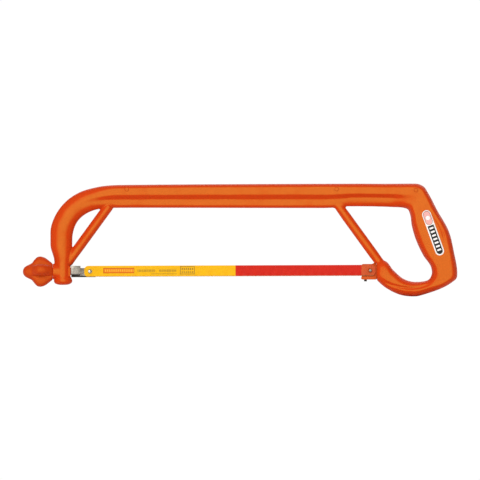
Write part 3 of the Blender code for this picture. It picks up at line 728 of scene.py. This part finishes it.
def dark_field_outline():
    """Round at the foot, and straight across where the pale cell is."""
    radius = BADGE_RADIUS - BADGE_BORDER
    outline = pill(BADGE_SPLIT, BADGE_FOOT - BADGE_ALONG * BADGE_BORDER, radius)
    outline = outline[len(outline) // 2 :]
    across = Vector((-BADGE_ALONG.y, BADGE_ALONG.x)) * radius
    square = [BADGE_SPLIT + BADGE_ALONG * 1.1 + across * side for side in (1, -1)]
    square.sort(key=lambda corner: (Vector(outline[-1]) - corner).length)
    return [*outline, *square]


def make_badge():
    """A white plate with a pale cell, a dark field, and a plain disc and bars, each with its material."""
    low, high = design_box("badge_plate")
    face = low.y
    plate = prism_object("badge_base", pill(BADGE_TOP, BADGE_FOOT, BADGE_RADIUS), face + BASE_FACE, high.y)
    bevel(plate, 0.25)
    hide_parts("badge_plate")
    start = BADGE_TOP + BADGE_ALONG * (BADGE_BORDER - 0.5)
    rim_outline = pill(start, BADGE_SPLIT + BADGE_ALONG * 0.3, BADGE_RADIUS - RIM_BORDER)
    tip_outline = pill(BADGE_TOP + BADGE_ALONG * BADGE_BORDER, BADGE_SPLIT, BADGE_RADIUS - BADGE_BORDER)
    rim = prism_object("badge_tip_rim", rim_outline, face + RIM_FACE, face + LAYER_FOOT)
    tip = prism_object("badge_tip_field", tip_outline, face + FIELD_FACE, face + LAYER_FOOT)
    field = prism_object("badge_dark_field", dark_field_outline(), face + FIELD_FACE, face + LAYER_FOOT)
    center = BADGE_TOP + BADGE_ALONG * DISC_PLACE
    place_on_face = (center.x, 0, center.y)
    disc = rounded_rod("badge_disc", DISC_RADIUS, face + MARK_FACE, face + 0.4, place_on_face, "Y", 0.05)
    pieces = [(plate, white), (rim, dark_red), (tip, pink), (field, black), (disc, white)]
    for k in range(BAR_COUNT):
        outline = bar_outline(BADGE_SPLIT + BADGE_ALONG * (BAR_START + k * BAR_PITCH), 4.4, 1.9, 0.5)
        bar = prism_object(f"badge_bar_{k + 1}", outline, face + MARK_FACE, face + 0.4)
        pieces.append((bar, white))
    return pieces


# --- materials ----------------------------------------------------------------------------------------------


class Nodes:
    """A small helper for building a node tree."""

    def __init__(self, name):
        self.material = bpy.data.materials.new(name)
        self.material.use_nodes = True
        self.tree = self.material.node_tree
        self.shader = self.tree.nodes["Principled BSDF"]
        self.place = self.add("ShaderNodeTexCoord").outputs["Object"]

    def add(self, kind, **settings):
        node = self.tree.nodes.new(kind)
        for key, value in settings.items():
            setattr(node, key, value)
        return node

    def link(self, source, target):
        self.tree.links.new(source, target)

    def set(self, **values):
        for key, value in values.items():
            self.shader.inputs[key.replace("_", " ")].default_value = value

    def noise(self, size_mm, detail=3.0, roughness=0.5):
        node = self.add("ShaderNodeTexNoise")
        node.inputs["Scale"].default_value = 1 / (size_mm * MM)
        node.inputs["Detail"].default_value = detail
        node.inputs["Roughness"].default_value = roughness
        self.link(self.place, node.inputs["Vector"])
        return node.outputs["Fac"]

    def scale(self, value, low, high, from_low=0.0, from_high=1.0):
        node = self.add("ShaderNodeMapRange")
        self.link(value, node.inputs["Value"])
        limits = {"From Min": from_low, "From Max": from_high, "To Min": low, "To Max": high}
        for key, number in limits.items():
            node.inputs[key].default_value = number
        return node.outputs["Result"]

    def math(self, operation, a, b=None, clamp=False):
        node = self.add("ShaderNodeMath", operation=operation, use_clamp=clamp)
        for socket, value in zip(node.inputs, (a, b)):
            if value is None:
                continue
            if isinstance(value, (int, float)):
                socket.default_value = value
            else:
                self.link(value, socket)
        return node.outputs["Value"]

    def mix(self, factor, a, b):
        node = self.add("ShaderNodeMix", data_type="RGBA")
        for socket, value in ((node.inputs["Factor"], factor), (node.inputs["A"], a), (node.inputs["B"], b)):
            if isinstance(value, tuple):
                socket.default_value = (*value, 1.0)
            elif isinstance(value, (int, float)):
                socket.default_value = value
            else:
                self.link(value, socket)
        return node.outputs["Result"]

    def bump(self, height, distance_mm, strength=1.0, below=None):
        node = self.add("ShaderNodeBump")
        node.inputs["Distance"].default_value = distance_mm * MM
        node.inputs["Strength"].default_value = strength
        self.link(height, node.inputs["Height"])
        if below is not None:
            self.link(below, node.inputs["Normal"])
        return node.outputs["Normal"]

    def color(self, source):
        self.link(source, self.shader.inputs["Base Color"])

    def rough(self, source):
        self.link(source, self.shader.inputs["Roughness"])

    def normal(self, source):
        self.link(source, self.shader.inputs["Normal"])


PLAIN = (1.0, 1.0, 1.0)
SIDE_HIGHLIGHT = (0.91, 0.997)  # how squarely a surface faces the near or far side, with none and with all of the painted highlight
# The wing nut's range: its lobes get only part of the painted highlight.
LOBE_HIGHLIGHT = (0.8, 1.15)


def coating(name, lit_color, shaded_color, roughness=0.42, grain=0.05, sheen=PLAIN, highlight_range=SIDE_HIGHLIGHT):
    """A thick dipped plastic, with painted light and shade: its colour runs from the shaded colour on rounded
    edges to the paler lit colour where a surface squarely faces the near or far side.
    """
    n = Nodes(name)
    side = n.add("ShaderNodeSeparateXYZ")
    n.link(n.add("ShaderNodeTexCoord").outputs["Normal"], side.inputs["Vector"])
    facing = n.math("ABSOLUTE", side.outputs["Y"])
    cloud = n.math("MULTIPLY", n.math("SUBTRACT", n.noise(14, 4.0), 0.5), 0.1)
    # Painted highlight and shade: surfaces facing the near or far side get the lit colour, rounded edges the
    # shaded colour.
    painted_highlight = n.scale(n.math("ADD", facing, cloud), 0, 1, *highlight_range)
    n.color(n.mix(painted_highlight, shaded_color, lit_color))
    n.rough(n.scale(n.noise(6, 3.0), roughness - 0.05, roughness + 0.08, 0.3, 0.7))
    peel = n.bump(n.noise(2.4, 2.0), 0.12, 0.35)
    n.normal(n.bump(n.noise(0.35, 2.0), grain, 0.5, peel))
    n.set(Specular_IOR_Level=0.16, Specular_Tint=(*sheen, 1.0))
    return n


def metal(name, color, dark, roughness, metallic=1.0):
    n = Nodes(name)
    stain = n.noise(5, 5.0, 0.6)
    n.color(n.mix(n.scale(stain, 0.0, 1.0, 0.4, 0.7), color, dark))
    n.rough(n.scale(n.noise(1.5, 4.0), roughness - 0.08, roughness + 0.12, 0.3, 0.7))
    n.normal(n.bump(n.noise(0.3, 3.0), 0.02, 0.5))
    n.set(Metallic=metallic)
    return n


def srgb(r, g, b):
    """A linear colour from 0 to 255 display values."""
    values = [c / 255 for c in (r, g, b)]
    return tuple(c / 12.92 if c <= 0.04045 else ((c + 0.055) / 1.055) ** 2.4 for c in values)


def band(n, axis_value, low, high, soft=0.15):
    """One between two places in design millimetres along an axis, nought outside."""
    rise = n.scale(axis_value, 0, 1, low - soft, low + soft)
    fall = n.scale(axis_value, 1, 0, high - soft, high + soft)
    return n.math("MULTIPLY", rise, fall)


RED_FROM_X = 228.0
COATED_FROM_X = 363.0

# Printed shapes, each as low x, high x, low z and high z. A row of dashes also has its pitch.
BLOCK = (86.2, 119.4, 26.0, 31.7)
BLOCK_HEART = (86.9, 118.7, 26.7, 31.0)
BLOCK_CELLS_Z = (27.5, 30.2)
DASHES = (
    (122.8, 142.0, 27.2, 29.9, 1.35),
    (146.0, 164.6, 27.2, 29.9, 1.35),
    (137.4, 164.9, 24.6, 26.0, 0.95),
)
FRAME_OUTER = (168.5, 184.2, 24.6, 33.2)
FRAME_INNER = (169.2, 183.5, 25.3, 32.5)
FRAME_CENTER_X = 176.4
PRINT_COLOR = (150, 118, 40)


def blade_paint():
    """Yellow paint with plain printed marks, then red paint, and a worn coated end."""
    n = Nodes("blade_paint")
    split = n.add("ShaderNodeSeparateXYZ")
    n.link(n.place, split.inputs["Vector"])
    x = n.math("DIVIDE", n.math("SUBTRACT", split.outputs["X"], CAD_LOW.x), MM)
    z = n.math("DIVIDE", n.math("SUBTRACT", split.outputs["Z"], CAD_LOW.z), MM)

    def patch(x0, x1, z0, z1):
        return n.math("MULTIPLY", band(n, x, x0, x1), band(n, z, z0, z1))

    def stripes(value, pitch, low, high):
        return band(n, n.math("PINGPONG", value, pitch), low, high, 0.1)

    uneven = n.noise(9, 4.0)
    yellow = n.mix(n.scale(uneven, 0, 1, 0.35, 0.65), srgb(243, 184, 2), srgb(239, 178, 4))
    red = n.mix(n.scale(uneven, 0, 1, 0.35, 0.65), srgb(209, 36, 12), srgb(203, 30, 10))
    color = n.mix(n.scale(x, 0, 1, RED_FROM_X - 0.4, RED_FROM_X + 0.4), yellow, red)

    heart = patch(*BLOCK_HEART)
    cells = n.math("MULTIPLY", stripes(x, 2.3, 0.55, 1.75), band(n, z, *BLOCK_CELLS_Z))
    color = n.mix(patch(*BLOCK), color, srgb(196, 96, 18))
    color = n.mix(heart, color, srgb(232, 120, 14))
    color = n.mix(n.math("MULTIPLY", n.math("MULTIPLY", heart, cells), 0.8), color, srgb(250, 196, 60))

    ink = srgb(*PRINT_COLOR)
    for *area, pitch in DASHES:
        dashes = n.math("MULTIPLY", patch(*area), stripes(x, pitch, 0.3, pitch - 0.15))
        color = n.mix(n.math("MULTIPLY", dashes, 0.75), color, ink)
    inner = patch(*FRAME_INNER)
    color = n.mix(n.math("SUBTRACT", patch(*FRAME_OUTER), inner, True), color, ink)
    marks = stripes(n.math("SUBTRACT", x, FRAME_CENTER_X), 2.2, 0.5, 1.7)
    rows = n.math("ADD", band(n, z, 29.2, 31.4), band(n, z, 26.2, 27.8))
    color = n.mix(n.math("MULTIPLY", n.math("MULTIPLY", inner, marks), rows), color, ink)

    worn = n.scale(n.noise(1.6, 5.0, 0.7), 0, 1, 0.42, 0.6)
    coated = n.mix(worn, srgb(212, 90, 38), srgb(194, 82, 38))
    color = n.mix(n.scale(x, 0, 1, COATED_FROM_X - 0.4, COATED_FROM_X + 0.4), color, coated)
    bare = n.scale(n.math("ADD", z, n.scale(n.noise(1.2, 3.0), -0.35, 0.35)), 1, 0, 22.9, 23.2)
    color = n.mix(n.math("MULTIPLY", bare, 0.55), color, srgb(160, 120, 70))
    n.color(color)
    n.rough(n.scale(n.noise(3, 3.0), 0.34, 0.48, 0.3, 0.7))
    n.normal(n.bump(n.noise(0.5, 3.0), 0.02, 0.4))
    n.set(Specular_IOR_Level=0.15)
    return n


# --- assembling ---------------------------------------------------------------------------------------------


def give(thing, nodes):
    thing.data.materials.clear()
    thing.data.materials.append(nodes.material)


ORANGE_SHEEN = (1.0, 0.5, 0.2)
COAT_SHEEN = (1.0, 0.6, 0.3)
# Each coating takes a lit colour and a shaded colour of one material and mixes them by which way a surface
# faces: painted light and shade.
orange = coating("orange_skin", (0.67, 0.138, 0.016), (0.63, 0.050, 0.004), 0.46, sheen=ORANGE_SHEEN)
nut_orange = coating(
    "orange_nut", (0.66, 0.120, 0.014), (0.56, 0.050, 0.005), 0.46, sheen=ORANGE_SHEEN, highlight_range=LOBE_HIGHLIGHT
)
bright = metal("bright_steel", (0.86, 0.85, 0.83), (0.62, 0.61, 0.58), 0.35)
steel = metal("core_steel", (0.50, 0.51, 0.53), (0.36, 0.36, 0.37), 0.4)
casting = metal("cast_core", (0.62, 0.63, 0.64), (0.45, 0.45, 0.46), 0.55)
plated = metal("plated_steel", (0.50, 0.47, 0.40), (0.26, 0.24, 0.20), 0.5)
# Blackened steel for the set screw; the same black is painted shade on the strip under the drawbar.
black_steel_and_shade = metal("blackened_steel_and_shade", (0.055, 0.05, 0.04), (0.02, 0.018, 0.014), 0.5, 0.6)
brass = metal("insert_brass", (0.72, 0.52, 0.22), (0.48, 0.34, 0.14), 0.3)
anchor_coat = coating("anchor_coat", srgb(208, 90, 38), srgb(182, 76, 34), 0.5, 0.08, COAT_SHEEN)
white = coating("badge_white", srgb(246, 242, 238), srgb(236, 232, 228), 0.35, 0.01)
pink = coating("badge_pink", srgb(238, 176, 168), srgb(232, 164, 158), 0.35, 0.01)
dark_red = coating("badge_rim", srgb(120, 56, 44), srgb(104, 48, 38), 0.35, 0.01)
black = coating("badge_black", srgb(38, 38, 36), srgb(28, 28, 27), 0.35, 0.01)

skin = make_skin()
cut_skin(skin)
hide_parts("bow_insulation", "handle_insulation", "front_strut_insulation", "rear_strut_insulation")
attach(skin, "frame")
give(skin, orange)
for plug in make_plugs():
    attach(plug, "frame")
    give(plug, orange)
cap = make_post_cap()
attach(cap, "frame")
give(cap, orange)
nut = make_wing_nut()
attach(nut, "tension_nut")
give(nut, nut_orange)
blade = make_blade()
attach(blade, "saw_blade")
give(blade, blade_paint())
for pin, material in zip(make_pins(), (bright, plated)):
    give(pin, material)
bar, tail, shade_strip = make_drawbar()
for thing, material in ((bar, plated), (tail, plated), (shade_strip, black_steel_and_shade)):
    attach(thing, "tension_bar")
    give(thing, material)
lug = make_anchor()
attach(lug, "frame")
give(lug, anchor_coat)
screw = make_set_screw()
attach(screw, "frame")
give(screw, black_steel_and_shade)
for thing, material in make_badge():
    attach(thing, "frame")
    give(thing, material)

CORE_STEEL = (
    "bow_tube",
    "front_socket",
    "front_strut_rod",
    "rear_strut_rod",
    "bow_rivet_front",
    "bow_rivet_rear",
    "anchor_rivet_front",
    "anchor_rivet_rear",
    "thrust_washer",
)
for node in CORE_STEEL:
    give(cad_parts[node], steel)
give(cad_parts["handle_core"], casting)
give(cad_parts["wing_nut_insert"], brass)

# --- the studio ---------------------------------------------------------------------------------------------

VIEW_WIDTH = 0.5148
VIEW_CENTER = (0.0, -1.5, 0.0612)
VIEW_ROLL = -0.0035
SKY_DIFFUSE = 0.42
SKY_GLOSSY = 0.1
SKY_SEEN = 1.02
FLOOR_RADIUS = 4.0
FLOOR_DROP = 0.0002

# Each light's name, azimuth, elevation, spread and share of full white.
LIGHTS = (
    ("front light", 18, 22, 50, 0.56),
    ("high light", -30, 65, 60, 0.12),
    ("rear light", 190, 30, 60, 0.34),
)


def soft_sun(name, azimuth, elevation, spread, share):
    """A broad even light from a direction. A white surface that faces it gets this share of full white."""
    data = bpy.data.lights.new(name, "SUN")
    data.angle = math.radians(spread)
    data.energy = share * math.pi
    light = bpy.data.objects.new(name, data)
    a, e = math.radians(azimuth), math.radians(elevation)
    toward = Vector((-math.sin(a) * math.cos(e), -math.cos(a) * math.cos(e), math.sin(e)))
    light.rotation_euler = toward.to_track_quat("Z", "Y").to_euler()
    bpy.context.scene.collection.objects.link(light)


def make_floor():
    bm = bmesh.new()
    bmesh.ops.create_circle(bm, cap_ends=True, segments=96, radius=FLOOR_RADIUS)
    mesh = bpy.data.meshes.new("floor")
    bm.to_mesh(mesh)
    bm.free()
    floor = bpy.data.objects.new("floor", mesh)
    floor.location.z = CAD_LOW.z - FLOOR_DROP
    bpy.context.scene.collection.objects.link(floor)
    paper = Nodes("floor_paper")
    paper.color(paper.mix(paper.noise(60, 2.0), (0.93, 0.93, 0.93), (0.9, 0.9, 0.9)))
    paper.set(Roughness=0.9)
    floor.data.materials.append(paper.material)


def make_sky():
    """White all round: bright to the camera, softer as a light, and faint in reflections."""
    world = bpy.data.worlds.new("studio")
    bpy.context.scene.world = world
    world.use_nodes = True
    tree = world.node_tree
    sky = tree.nodes["Background"]
    sky.inputs["Color"].default_value = (1.0, 1.0, 1.0, 1)
    path = tree.nodes.new("ShaderNodeLightPath")
    strength = SKY_DIFFUSE
    for output, level in (("Is Glossy Ray", SKY_GLOSSY), ("Is Camera Ray", SKY_SEEN)):
        pick = tree.nodes.new("ShaderNodeMix")
        tree.links.new(path.outputs[output], pick.inputs["Factor"])
        if isinstance(strength, float):
            pick.inputs["A"].default_value = strength
        else:
            tree.links.new(strength, pick.inputs["A"])
        pick.inputs["B"].default_value = level
        strength = pick.outputs["Result"]
    tree.links.new(strength, sky.inputs["Strength"])


def make_camera():
    scene = bpy.context.scene
    data = bpy.data.cameras.new("camera")
    data.type = "ORTHO"
    data.ortho_scale = VIEW_WIDTH
    camera = bpy.data.objects.new("camera", data)
    camera.location = VIEW_CENTER
    turn = Matrix.Rotation(math.radians(90), 3, "X") @ Matrix.Rotation(VIEW_ROLL, 3, "Z")
    camera.rotation_euler = turn.to_euler()
    scene.collection.objects.link(camera)
    scene.camera = camera
    scene.view_settings.view_transform = "Standard"


make_floor()
make_sky()
for light in LIGHTS:
    soft_sun(*light)
make_camera()
